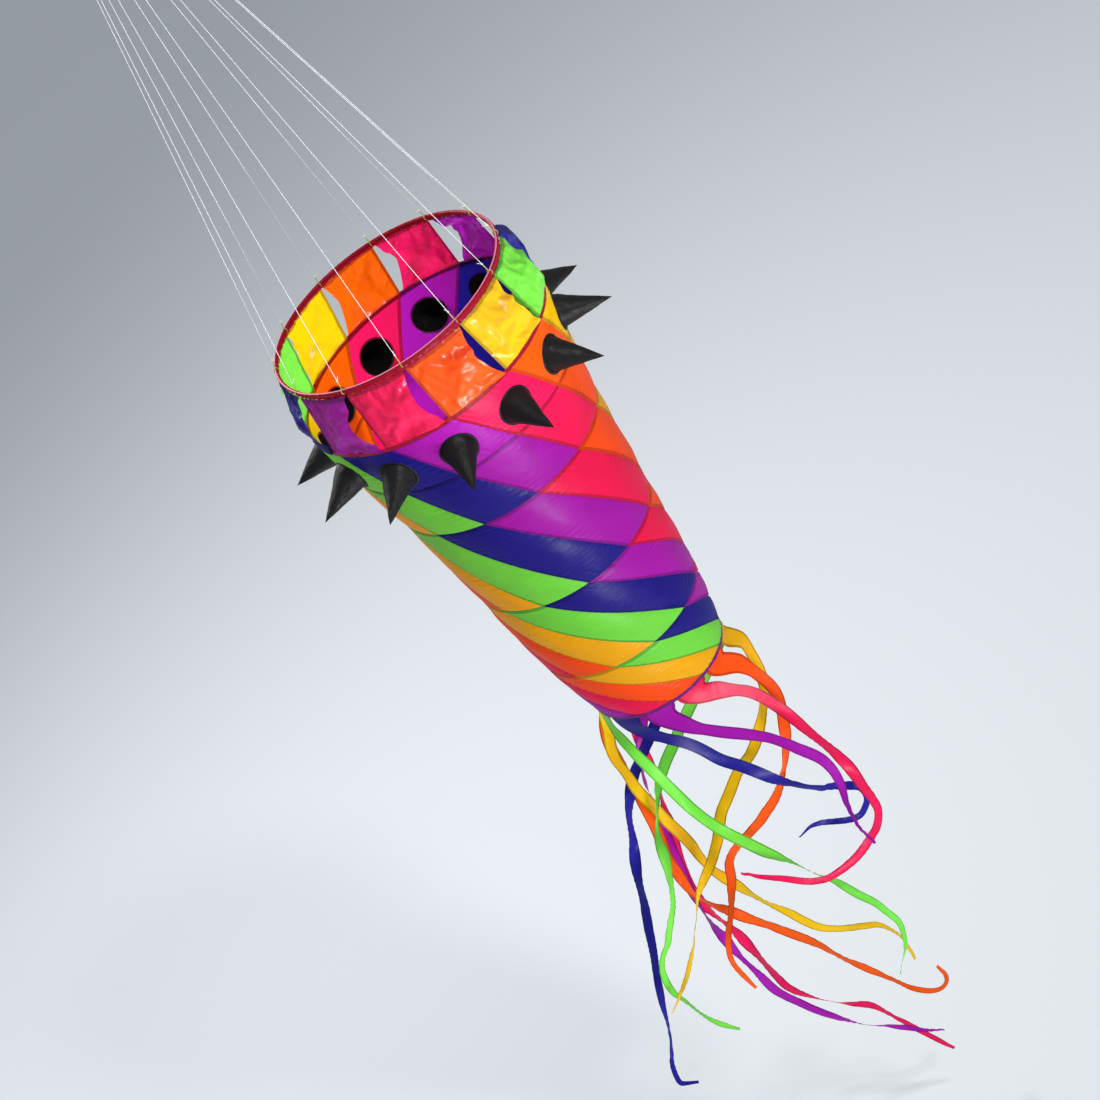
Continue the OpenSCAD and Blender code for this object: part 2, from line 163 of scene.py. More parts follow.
class Nodes:
    """Short calls for building one material's node tree."""

    def __init__(self, name):
        self.m = bpy.data.materials.new(name)
        self.m.use_nodes = True
        self.t = self.m.node_tree
        self.bsdf = self.t.nodes["Principled BSDF"]
        self.out = self.t.nodes["Material Output"]

    def put(self, socket, value):
        if isinstance(value, bpy.types.NodeSocket):
            self.t.links.new(value, socket)
        elif isinstance(value, tuple) and len(value) == 3 and len(socket.default_value) == 4:
            socket.default_value = (*value, 1)
        else:
            socket.default_value = value

    def new(self, kind, **inputs):
        n = self.t.nodes.new("ShaderNode" + kind)
        for k, v in inputs.items():
            self.put(n.inputs[k.replace("_", " ")], v)
        return n

    def math(self, op, a, b=0.0, c=0.0):
        n = self.t.nodes.new("ShaderNodeMath")
        n.operation = op
        for i, v in enumerate((a, b, c)):
            self.put(n.inputs[i], v)
        return n.outputs[0]

    def mix(self, share, a, b, how="MIX"):
        n = self.t.nodes.new("ShaderNodeMix")
        n.data_type, n.blend_type = "RGBA", how
        self.put(n.inputs["Factor"], share)
        self.put(n.inputs[6], a)
        self.put(n.inputs[7], b)
        return n.outputs[2]

    def noise(self, where, scale, detail=3.0, rough=0.55):
        n = self.new("TexNoise", Scale=scale, Detail=detail, Roughness=rough)
        self.put(n.inputs["Vector"], where)
        return n.outputs["Fac"]

    def scaled(self, where, size):
        n = self.new("Mapping")
        self.put(n.inputs["Vector"], where)
        n.inputs["Scale"].default_value = size
        return n.outputs["Vector"]

    def grey(self, value):
        return self.new("CombineColor", Red=value, Green=value, Blue=value).outputs[0]

    def bump(self, height, depth):
        return self.new("Bump", Height=height, Distance=depth, Strength=1.0).outputs["Normal"]


RIPSTOP = 0.006  # spacing of the ripstop's thick threads
STITCH = 0.0045
STITCH_W = 0.0006


def shade(colour, by):
    return tuple(by * c for c in colour)


def cloth_material(name, colour, through, share=0.45, rough=0.42, band=0.013, edge=None, shine=0.18):
    """Ripstop nylon. UV is in metres from the sewn edges; a band along them is doubled and stitched, and its
    colour off the cloth is painted darker as painted shade of the doubled cloth against the light behind it.

    colour is the light off the cloth, through the light through it and share how much of it is that.
    """
    k = Nodes(name)
    uv = k.new("UVMap").outputs[0]
    xy = k.new("SeparateXYZ", Vector=uv)
    x, y = xy.outputs[0], xy.outputs[1]
    lines = k.math("MAXIMUM", k.math("LESS_THAN", k.math("FRACT", k.math("DIVIDE", x, RIPSTOP)), 0.1),
                   k.math("LESS_THAN", k.math("FRACT", k.math("DIVIDE", y, RIPSTOP)), 0.1))
    blotch = k.noise(uv, 7.0, 4.0)
    tone = k.math("MULTIPLY_ADD", blotch, 0.30, 0.85)
    plain = k.mix(1.0, colour, k.grey(tone), "MULTIPLY")
    plain = k.mix(k.math("MULTIPLY", lines, 0.10), plain, shade(colour, 0.6))
    # the doubled band: it places the stitches, lowers the light through the cloth and carries the painted shade
    # below
    seam = k.math("MAXIMUM", k.math("LESS_THAN", x, band), k.math("LESS_THAN", y, band))
    if edge is not None:  # the far side of a ribbon's width
        seam = k.math("MAXIMUM", seam, k.math("GREATER_THAN", x, edge))
    near = k.math("MINIMUM", x, y)
    along = k.math("ADD", x, y)
    rows = k.math("COMPARE", k.math("PINGPONG", near, band * 0.78), band * 0.14, STITCH_W)
    thread = k.math("MULTIPLY", rows, k.math("LESS_THAN", k.math("FRACT", k.math("DIVIDE", along, STITCH)), 0.62))
    thread = k.math("MULTIPLY", thread, seam)
    # painted shade: the doubled band's colour off the cloth is painted darker, for the doubled cloth holding back
    # the light from behind
    base = k.mix(k.math("MULTIPLY", seam, 0.6), plain, shade(colour, 0.42))
    base = k.mix(k.math("MULTIPLY", thread, 0.5), base, shade(colour, 0.22))
    lit = k.mix(1.0, through, k.grey(tone), "MULTIPLY")
    lit = k.mix(k.math("MULTIPLY", seam, 0.8), lit, shade(through, 0.28))
    fine = k.noise(k.scaled(uv, (22, 60, 1)), 1.0, 3.0)
    raised = k.math("ADD", k.math("MULTIPLY", lines, 0.12), k.math("MULTIPLY", thread, -0.4))
    normal = k.bump(k.math("ADD", fine, raised), 0.0012)
    b = k.bsdf
    k.put(b.inputs["Base Color"], base)
    k.put(b.inputs["Roughness"], k.math("MULTIPLY_ADD", blotch, 0.22, rough - 0.11))
    k.put(b.inputs["Normal"], normal)
    b.inputs["Specular IOR Level"].default_value = shine
    glow = k.new("BsdfTranslucent", Color=lit, Normal=normal)
    both = k.new("MixShader")
    both.inputs[0].default_value = share
    k.put(both.inputs[1], b.outputs[0])
    k.put(both.inputs[2], glow.outputs[0])
    k.put(k.out.inputs["Surface"], both.outputs[0])
    return k.m


def cord_material(name, colour):
    k = Nodes(name)
    where = k.new("TexCoord").outputs["Object"]
    wave = k.t.nodes.new("ShaderNodeTexWave")
    wave.bands_direction = "DIAGONAL"
    k.put(wave.inputs["Vector"], where)
    wave.inputs["Scale"].default_value = 260
    wave.inputs["Distortion"].default_value = 2
    wave.inputs["Detail"].default_value = 1
    strand = wave.outputs["Fac"]
    k.put(k.bsdf.inputs["Base Color"], k.mix(k.math("MULTIPLY", strand, 0.35), colour, shade(colour, 0.62)))
    k.put(k.bsdf.inputs["Roughness"], k.math("MULTIPLY_ADD", k.noise(where, 40.0), 0.2, 0.5))
    k.put(k.bsdf.inputs["Normal"], k.bump(strand, 0.0003))
    return k.m


def metal_material(name, colour, rough):
    k = Nodes(name)
    where = k.new("TexCoord").outputs["Object"]
    streak = k.noise(k.scaled(where, (60, 60, 900)), 1.0, 2.0)
    worn = k.noise(where, 160.0, 4.0)
    k.put(k.bsdf.inputs["Base Color"], k.mix(k.math("MULTIPLY", worn, 0.4), colour, shade(colour, 0.7)))
    k.bsdf.inputs["Metallic"].default_value = 1.0
    k.put(k.bsdf.inputs["Roughness"], k.math("MULTIPLY_ADD", streak, 0.2, rough - 0.1))
    k.put(k.bsdf.inputs["Normal"], k.bump(k.math("ADD", streak, worn), 0.00006))
    return k.m


def plain_material(name, colour, rough):
    k = Nodes(name)
    where = k.new("TexCoord").outputs["Object"]
    grain = k.noise(k.scaled(where, (300, 300, 40)), 1.0, 3.0)
    k.put(k.bsdf.inputs["Base Color"], k.mix(k.math("MULTIPLY", grain, 0.6), colour, shade(colour, 1.9)))
    k.put(k.bsdf.inputs["Roughness"], k.math("MULTIPLY_ADD", grain, 0.2, rough - 0.1))
    k.put(k.bsdf.inputs["Normal"], k.bump(grain, 0.0002))
    return k.m


# Colour of light off the cloth, and of light through it.
PAINT = {
    "green": ((0.13, 0.62, 0.05), (0.24, 0.95, 0.08)),
    "yellow": ((0.74, 0.34, 0.003), (1.0, 0.78, 0.0)),
    "orange": ((0.90, 0.060, 0.003), (1.0, 0.16, 0.0)),
    "pink": ((0.72, 0.004, 0.065), (1.0, 0.012, 0.16)),
    "purple": ((0.30, 0.004, 0.36), (0.50, 0.012, 0.56)),
    "blue": ((0.008, 0.006, 0.20), (0.014, 0.012, 0.38)),
}
CLOTH = {c: cloth_material("cloth_" + c, *PAINT[c]) for c in COLOURS}
VENT = {c: cloth_material("vent_" + c, *PAINT[c], share=0.5, rough=0.29, band=0.010, shine=0.7)
        for c in COLOURS}
STRIP = {c: cloth_material("strip_" + c, *PAINT[c], rough=0.36, band=0.0045, edge=0.0355, shine=0.22)
         for c in COLOURS}
BLACK = cloth_material("cloth_black", (0.004, 0.004, 0.005), (0.006, 0.006, 0.007),
                       share=0.1, rough=0.5, band=0.008, shine=0.25)
CRIMSON = cloth_material("cloth_crimson", (0.30, 0.002, 0.020), (0.45, 0.004, 0.03), share=0.2, band=0.002)
PALE = cloth_material("sleeve_edge", (0.80, 0.25, 0.34), (0.9, 0.5, 0.55), share=0.2, rough=0.5, band=0.001)
VIOLET = cloth_material("hem_violet", (0.10, 0.006, 0.15), (0.15, 0.01, 0.2),
                        share=0.25, rough=0.4, band=0.002)
CORD_WHITE = cord_material("cord_white", (0.86, 0.88, 0.90))
CORD_GREEN = cord_material("cord_green", (0.50, 0.58, 0.12))
STEEL = metal_material("steel", (0.66, 0.67, 0.68), 0.26)
BARREL = metal_material("barrel", (0.40, 0.41, 0.43), 0.34)
ROD = plain_material("rod", (0.030, 0.030, 0.034), 0.4)

# ---------- mesh helpers ----------


def mesh_of(name, grids, materials, which=None):
    """One object from grids of (points, uv), each (rows, columns, 3 or 2); NaN points leave a hole.

    which gives each grid's material.
    """
    verts, faces, uvs, slots, start = [], [], [], [], 0
    for g, (points, uv) in enumerate(grids):
        rows, cols = points.shape[:2]
        i = np.arange(rows * cols).reshape(rows, cols)
        quads = np.stack([i[:-1, :-1], i[:-1, 1:], i[1:, 1:], i[1:, :-1]], -1).reshape(-1, 4)
        keep = ~np.isnan(points.reshape(-1, 3)[quads]).any((1, 2))
        quads = quads[keep]
        verts.append(np.nan_to_num(points.reshape(-1, 3)))
        uvs.append(uv.reshape(-1, 2))
        faces.append(quads + start)
        slots += [which[g] if which else 0] * len(quads)
        start += rows * cols
    verts, uvs, faces = np.concatenate(verts), np.concatenate(uvs), np.concatenate(faces)
    used = np.zeros(len(verts), bool)
    used[faces] = True
    number = np.cumsum(used) - 1
    verts, uvs, faces = verts[used], uvs[used], number[faces]
    mesh = bpy.data.meshes.new(name)
    mesh.from_pydata(verts.tolist(), [], faces.tolist())
    layer = mesh.uv_layers.new(name="UVMap")
    layer.data.foreach_set("uv", uvs[faces.ravel()].astype(np.float32).ravel())
    mesh.polygons.foreach_set("material_index", np.array(slots, np.int32))
    mesh.polygons.foreach_set("use_smooth", np.ones(len(faces), bool))
    for m in materials:
        mesh.materials.append(m)
    o = bpy.data.objects.new(name, mesh)
    bpy.context.scene.collection.objects.link(o)
    mesh.update()
    return o


def cloth_points(station, gore, u, v, out):
    """Points of the fabric between two stations, as part.scad has them."""
    r = STATION_R[station] + (STATION_R[station + 1] - STATION_R[station]) * v + out
    turn = STATION_TURN[station] + (STATION_TURN[station + 1] - STATION_TURN[station]) * v
    a = FIRST_TIE + STEP * (gore + u) + turn
    z = STATION_Z[station] + (STATION_Z[station + 1] - STATION_Z[station]) * v
    return np.stack([r * np.cos(a), r * np.sin(a), z + 0 * a], -1)


def ripple(points, scale, seed):
    """Smooth noise at each point, from -1 to 1."""
    flat = points.reshape(-1, 3)
    at = Vector((seed * 3.7, seed * 1.3, -seed * 2.1))
    values = [noise.fractal(Vector(p) * scale + at, 0.6, 2.0, 2) for p in flat]
    return np.array(values).reshape(points.shape[:-1])


def crease(points, scale, seed):
    """Sharp folds: high along the lines where the noise changes sign."""
    flat = points.reshape(-1, 3)
    at = Vector((seed * 2.3, -seed * 1.9, seed * 0.7))
    values = [1 - 2 * abs(noise.noise(Vector(p) * scale + at)) for p in flat]
    return np.array(values).reshape(points.shape[:-1])


# ---------- tube ----------

SPIKE_TURN = STATION_TURN[1] + SPIKE_SHARE * (STATION_TURN[2] - STATION_TURN[1])
PANEL_BELLY = 0.0062
GORE_FOLD, GORE_FOLD_REACH = 0.0025, 0.028  # fine folds drawn in by the seams between gores
ROW_FOLD, ROW_FOLD_REACH = 0.0019, 0.020  # and by the seams between rows
SEAM_LAP, SEAM_LAP_W = 0.0009, 0.0125  # the doubled cloth along each gore's first seam
HOLE_R = SPIKE_R * 0.985


def spike_frame(gore):
    """Base point, axis and two cross directions of a spike."""
    a = FIRST_TIE + STEP * (gore + 0.5) + SPIKE_TURN
    out = Vector((math.cos(a), math.sin(a), 0))
    base = out * SPIKE_BASE_R + Vector((0, 0, SPIKE_Z))
    axis = out * math.cos(SPIKE_LEAN) - Vector((0, 0, math.sin(SPIKE_LEAN)))
    side = Vector((-math.sin(a), math.cos(a), 0))
    return base, axis, side, axis.cross(side)


def panel_grid(row, gore, seed):
    """A tube panel: it bellies out between its seams and is drawn into fine folds along them.

    Row 0 has the round holes that open into the spikes.
    """
    station = row + 1
    width = STEP * (STATION_R[station] + STATION_R[station + 1]) / 2
    turn = STATION_TURN[station + 1] - STATION_TURN[station]
    length = math.hypot(ROW_L[station], turn * (STATION_R[station] + STATION_R[station + 1]) / 2)
    rows, cols = (round(ROW_L[1] / 0.005), 40) if row == 0 else (round(length / 0.0062), 24)
    v, u = np.meshgrid(np.linspace(0, 1, rows + 1), np.linspace(0, 1, cols + 1), indexing="ij")
    flat = cloth_points(station, gore, u, v, 0)
    su, sv = u * width, v * ROW_L[station]
    along = v * length
    near_gore = np.minimum(su, width - su)
    near_row = np.minimum(sv, ROW_L[station] - sv)
    wave = ripple(np.stack([along * 0.6, gore + 0 * u, u * 0.2], -1), 9.0, seed + row)
    gore_folds = np.sin(along / 0.0042 + 5.0 * wave) * (0.35 + 0.65 * smooth(0.5 + 2.2 * wave))
    row_wave = ripple(np.stack([su * 2, gore + 0 * u, v * 0.2 + row], -1), 7.0, seed + 9)
    row_folds = np.sin(su / 0.0038 + 5.0 * row_wave) * smooth(0.5 + 2.5 * row_wave)
    sewn = smooth(near_gore / 0.010) * smooth(near_row / 0.006)  # neighbours meet exactly at their seams
    out = PANEL_BELLY * np.sin(math.pi * u) ** 0.7 * np.sin(math.pi * v) ** 0.5
    out = out + GORE_FOLD * np.exp(-near_gore / GORE_FOLD_REACH) * gore_folds * sewn
    out = out + ROW_FOLD * np.exp(-near_row / ROW_FOLD_REACH) * row_folds * sewn
    dents = 0.0030 * ripple(flat, 6.0, seed) + 0.0014 * crease(flat, 9.0, seed)
    out += dents * np.sin(math.pi * u) * np.sin(math.pi * v)
    out += SEAM_LAP * (near_gore < SEAM_LAP_W) * (su < width / 2) * (u > 0)
    points = cloth_points(station, gore, u, v, out)
    if row == 0:
        base, axis, side, up = (np.array(d) for d in spike_frame(gore))
        rel = points - base
        x, y = rel @ side, rel @ up
        rho = np.hypot(x, y)
        gone = rho < HOLE_R - 0.0045
        rim = (rho < HOLE_R + 0.0015) & ~gone
        move = np.where(rim, HOLE_R / np.maximum(rho, 1e-6) - 1, 0)[..., None]
        points = points + move * (x[..., None] * side + y[..., None] * up)
        points[gone] = np.nan
    return points, np.stack([su, sv], -1)


for c, colour in enumerate(COLOURS):
    grids, area, wide, long = [], 0, 0, 0
    for row in range(5):
        for gore in range(GORES):
            if panel_colour(row, gore) == c:
                grids.append(panel_grid(row, gore, 10 * gore + row))
                mean = STEP * (STATION_R[row + 1] + STATION_R[row + 2]) / 2
                slant = math.hypot(ROW_L[row + 1], STATION_R[row + 1] - STATION_R[row + 2])
                area += mean * slant - (math.pi * SPIKE_R**2 if row == 0 else 0)
                wide += STEP * STATION_R[row + 1]
                long = max(long, slant)
    tube = mesh_of("tube_" + colour, grids, [CLOTH[colour]])
    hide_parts("panels_" + colour)
    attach(tube, "windsock")

# ---------- vents ----------

VENT_N = 34  # spans each way
VENT_SLOT = 0.17  # how deep the free edge is cut in, as a share of the gore
VENT_BELLY = 0.050
VENT_MOVE = 0.022  # the farthest the simulation may move a point
VENT_FRAMES = 20


def vent_grid(gore):
    """A loose pocket: sewn to the sleeve, one seam and the collar, and open along a hollow free edge."""
    top = SLEEVE_BOTTOM / ROW_L[0]
    v = np.linspace(top, 1.0, VENT_N + 1)[:, None] + np.zeros((1, VENT_N + 1))
    drop = (v - top) / (1 - top)
    edge = 0.990 - VENT_SLOT * np.sin(math.pi * drop[:, :1]) ** 0.8
    u = 0.004 + (edge - 0.004) * np.linspace(0, 1, VENT_N + 1)[None, :]
    belly = VENT_BELLY * np.sin(math.pi * drop**1.1) ** 0.85 * smooth(u / 0.9)
    points = cloth_points(0, gore, u, v, belly * (0.9 + 0.1 * math.cos(2.3 * gore)))
    width = STEP * 0.41
    return points, np.stack([u * width, (v - top) * ROW_L[0]], -1), u, v


def simulate_vents(grids):
    """All twelve vents as one cloth: sewn on three sides, slack, and blown outwards."""
    o = mesh_of("vents_at_rest", [(p, uv) for p, uv, _, _ in grids], [])
    n = (VENT_N + 1) ** 2
    pin = o.vertex_groups.new(name="pin")
    i = np.arange(n).reshape(VENT_N + 1, VENT_N + 1)
    sewn = np.unique(np.concatenate([i[0], i[-1], i[:, 0]]))
    pin.add([int(g * n + s) for g in range(GORES) for s in sewn], 1.0, "REPLACE")
    mod = o.modifiers.new("cloth", "CLOTH")
    s = mod.settings
    s.quality, s.mass, s.air_damping = 6, 0.08, 2.0
    s.tension_stiffness = s.compression_stiffness = 14
    s.shear_stiffness, s.bending_stiffness = 4, 0.08
    s.shrink_min = -0.03
    s.use_pressure, s.uniform_pressure_force = True, 0.7
    s.vertex_group_mass = "pin"
    s.effector_weights.gravity = 0
    mod.collision_settings.use_collision = False
    scene = bpy.context.scene
    for f in range(1, VENT_FRAMES + 1):
        scene.frame_set(f)
    made = o.evaluated_get(bpy.context.evaluated_depsgraph_get()).to_mesh()
    co = np.zeros(len(made.vertices) * 3)
    made.vertices.foreach_get("co", co)
    co = co.reshape(GORES, VENT_N + 1, VENT_N + 1, 3)
    scene.frame_set(1)
    bpy.data.objects.remove(o)
    result = []
    for g, (p, _, _, _) in enumerate(grids):
        move = co[g] - p
        far = np.linalg.norm(move, axis=-1, keepdims=True)
        result.append(p + move * np.minimum(1, VENT_MOVE / np.maximum(far, 1e-9)))
    return result


vent_grids = [vent_grid(g) for g in range(GORES)]
vent_shapes = simulate_vents(vent_grids)
for gore in range(GORES):
    flat, uv, u, v = vent_grids[gore]
    p = vent_shapes[gore]
    out = flat * [1, 1, 0] / np.linalg.norm(flat[..., :2], axis=-1, keepdims=True)
    side, fall = uv[..., 0], uv[..., 1]
    hold = np.minimum(smooth(side / 0.02), np.minimum(smooth(fall / 0.012), smooth((1 - v) / 0.06)))
    crumple = 0.0042 * crease(flat, 11.0, gore) + 0.0014 * crease(flat, 27.0, gore + 5)
    pleats = 0.0028 * np.sin(u * 95 + 4 * ripple(flat, 14.0, gore))  # gathers below the sleeve
    pleats = pleats * np.exp(-fall / 0.022) * smooth(fall / 0.004)
    p = p + out * (crumple * hold + pleats)[..., None]
    colour = COLOURS[vent_colour(gore)]
    vent = mesh_of(f"vent_{gore + 1}", [(p, uv)], [VENT[colour]])
    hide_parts("vents_" + colour)
    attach(vent, "windsock")

# ---------- sleeve and hems ----------


AROUND = np.linspace(0, 2 * math.pi, 481)


def ring_grid(profile, lift):
    """A closed ring swept from a profile of (r, z, distance) points; lift(k) wrinkles its k-th line."""
    a = AROUND
    rows = []
    for k, (r, z, _) in enumerate(profile):
        rr = r + lift(k)
        rows.append(np.stack([rr * np.cos(a), rr * np.sin(a), z + 0 * a], -1))
    uv = np.stack([np.stack([a * profile[0][0] + 1, d + 1 + 0 * a], -1) for _, _, d in profile])
    return np.array(rows), uv


def ring_noise(scale, seed):
    return np.array([noise.noise(Vector((math.cos(t) * scale, math.sin(t) * scale, seed))) for t in AROUND])


def sleeve():
    """The hem round the rod, the flap below it and the pale line along its top."""
    r0, z0 = STATION_R[0], MOUTH_Z
    profile = []
    steps = 14
    for k in range(steps + 1):
        t = math.radians(-90 + 340 * k / steps + 10)
        profile.append((r0 + SLEEVE_R * math.cos(t), z0 + SLEEVE_R * math.sin(t), k * 0.0026))
    gather = 0.0007 * np.sin(AROUND * 150 + 6 * ring_noise(9, 1)) + 0.0009 * ring_noise(22, 2)
    body = ring_grid(profile, lambda k: gather * abs(math.cos(k)))
    flap = [(r0 + 0.0012, z0 - 0.0045 - 0.0125 * k / 4, k * 0.003) for k in range(5)]
    pleat = 0.0022 * np.sin(AROUND * 96 + 7 * ring_noise(7, 4))
    skirt = ring_grid(flap, lambda k: pleat * k / 4)
    edge = [(r0 + 0.0052 * math.cos(t), z0 + 0.0062 * math.sin(t) + 0.0008, k * 0.001)
            for k, t in enumerate(np.radians([52, 66, 80, 94]))]
    rim = ring_grid(edge, lambda k: gather * 0.6 + 0.0004)
    o = mesh_of("mouth_sleeve", [body, skirt, rim], [CRIMSON, PALE], [0, 0, 1])
    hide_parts("hoop_sleeve")
    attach(o, "windsock")


def band(name, node, r_top, r_low, z_top, z_low, material, slot_name, flat, fold):
    """A flat hem lying 3.2 mm outside its radii, with wrinkles of the height fold along both edges."""
    profile = [(r_top + (r_low - r_top) * k / 5 + 0.0032, z_top + (z_low - z_top) * k / 5, 0.003 * k)
               for k in range(6)]
    wave = fold * np.sin(AROUND * 120 + 7 * ring_noise(8, 3))
    o = mesh_of(name, [ring_grid(profile, lambda k: wave * (0.3 + 0.7 * abs(k - 2.5) / 2.5))], [material])
    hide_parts(node)
    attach(o, "windsock")


sleeve()
band("collar_band", "collar_hem", 0.4330, 0.4311, STATION_Z[1] + 0.0035, STATION_Z[1] - 0.0115,
     CRIMSON, "cloth_crimson", (2.72, 0.015), 0.0006)
band("trailing_band", "trailing_hem", 0.2526, 0.2500, END_Z + 0.014, END_Z,
     VIOLET, "cloth_purple", (1.57, 0.014), 0.0007)

# ---------- spikes ----------


CONE_ROWS, CONE_COLS = 40, 64
FLANGE_LIFT = (0.0068, 0.0082, 0.0084, 0.0076, 0.0035)  # above the first row's cone, from the spike outwards


def skin_radius(z, lift):
    """The first tube row's radius at a height, lifted off its cone of cloth."""
    return STATION_R[1] + (STATION_R[2] - STATION_R[1]) * (STATION_Z[1] - z) / ROW_L[1] + lift


def spike(gore):
    """A soft cone, rooted where it meets the tube's cloth, with a doubled flange sewn flat round it."""
    base, axis, side, up = spike_frame(gore)
    rows, cols = CONE_ROWS, CONE_COLS
    points = np.zeros((rows + 1, cols + 1, 3))
    uv = np.zeros((rows + 1, cols + 1, 2))
    flange = np.zeros((len(FLANGE_LIFT), cols + 1, 3))
    flange_uv = np.zeros((len(FLANGE_LIFT), cols + 1, 2))
    slant = math.hypot(SPIKE_L, SPIKE_R)
    for i in range(cols + 1):
        a = 2 * math.pi * i / cols
        d = side * math.cos(a) + up * math.sin(a)
        low, high = -0.2, 0.7  # where this line of the cone meets the tube's cloth
        for _ in range(30):
            root = (low + high) / 2
            p = base + axis * (SPIKE_L * root) + d * (SPIKE_R * (1 - root))
            low, high = (low, root) if math.hypot(p.x, p.y) > skin_radius(p.z, 0.0065) else (root, high)
        for j in range(rows + 1):
            t = root - 0.012 + (1.012 - root) * j / rows
            r = SPIKE_R * (1 - t)
            dent = 0.0026 * noise.noise(Vector((math.cos(a) * 1.3, math.sin(a) * 1.3, t * 3 + gore)))
            dent += 0.0014 * math.sin(9 * a + gore) * max(0, 1 - t * 4)
            sharp = noise.noise(Vector((math.cos(a) * 3, math.sin(a) * 3, t * 7 + gore * 2)))
            dent += 0.0012 * (1 - 2 * abs(sharp))
            hold = min(1, (1 - t) * 6) * min(1, j / 4)
            points[j, i] = base + axis * (SPIKE_L * t) + d * (r + dent * hold)
            uv[j, i] = (r * a + 0.001, t * slant + 0.02)
        r = SPIKE_R * (1 - root)
        wide = max(0.0085, SPIKE_R + 0.003 - r)
        for j, lift in enumerate(FLANGE_LIFT):
            p = base + axis * (SPIKE_L * root) + d * (r + wide * (j / 4) - 0.0005)
            out = Vector((p.x, p.y, 0)).normalized() * skin_radius(p.z, lift)
            flange[j, i] = (out.x, out.y, p.z)
            flange_uv[j, i] = (0.5 + a * SPIKE_R, 0.5 + wide * j / 4)
    o = mesh_of(f"spike_cloth_{gore + 1}", [(points, uv), (flange, flange_uv)], [BLACK])
    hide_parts(f"spike_{gore + 1}")
    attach(o, "windsock")


for gore in range(GORES):
    spike(gore)

# ---------- ribbons ----------

RIBBON_W = 0.041
FLARE_W, FLARE_L = 0.080, 0.17  # how much wider a ribbon is at its root, and over what length
HEM_DROP = 0.014  # the CAD ribbon's root, below the trailing edge
HEM_LIFT = 0.0035
SPAN_STEPS = 12
RIBBON_COLS = 8
CUT_W = 0.040  # width of the uncurled strip, for its UV

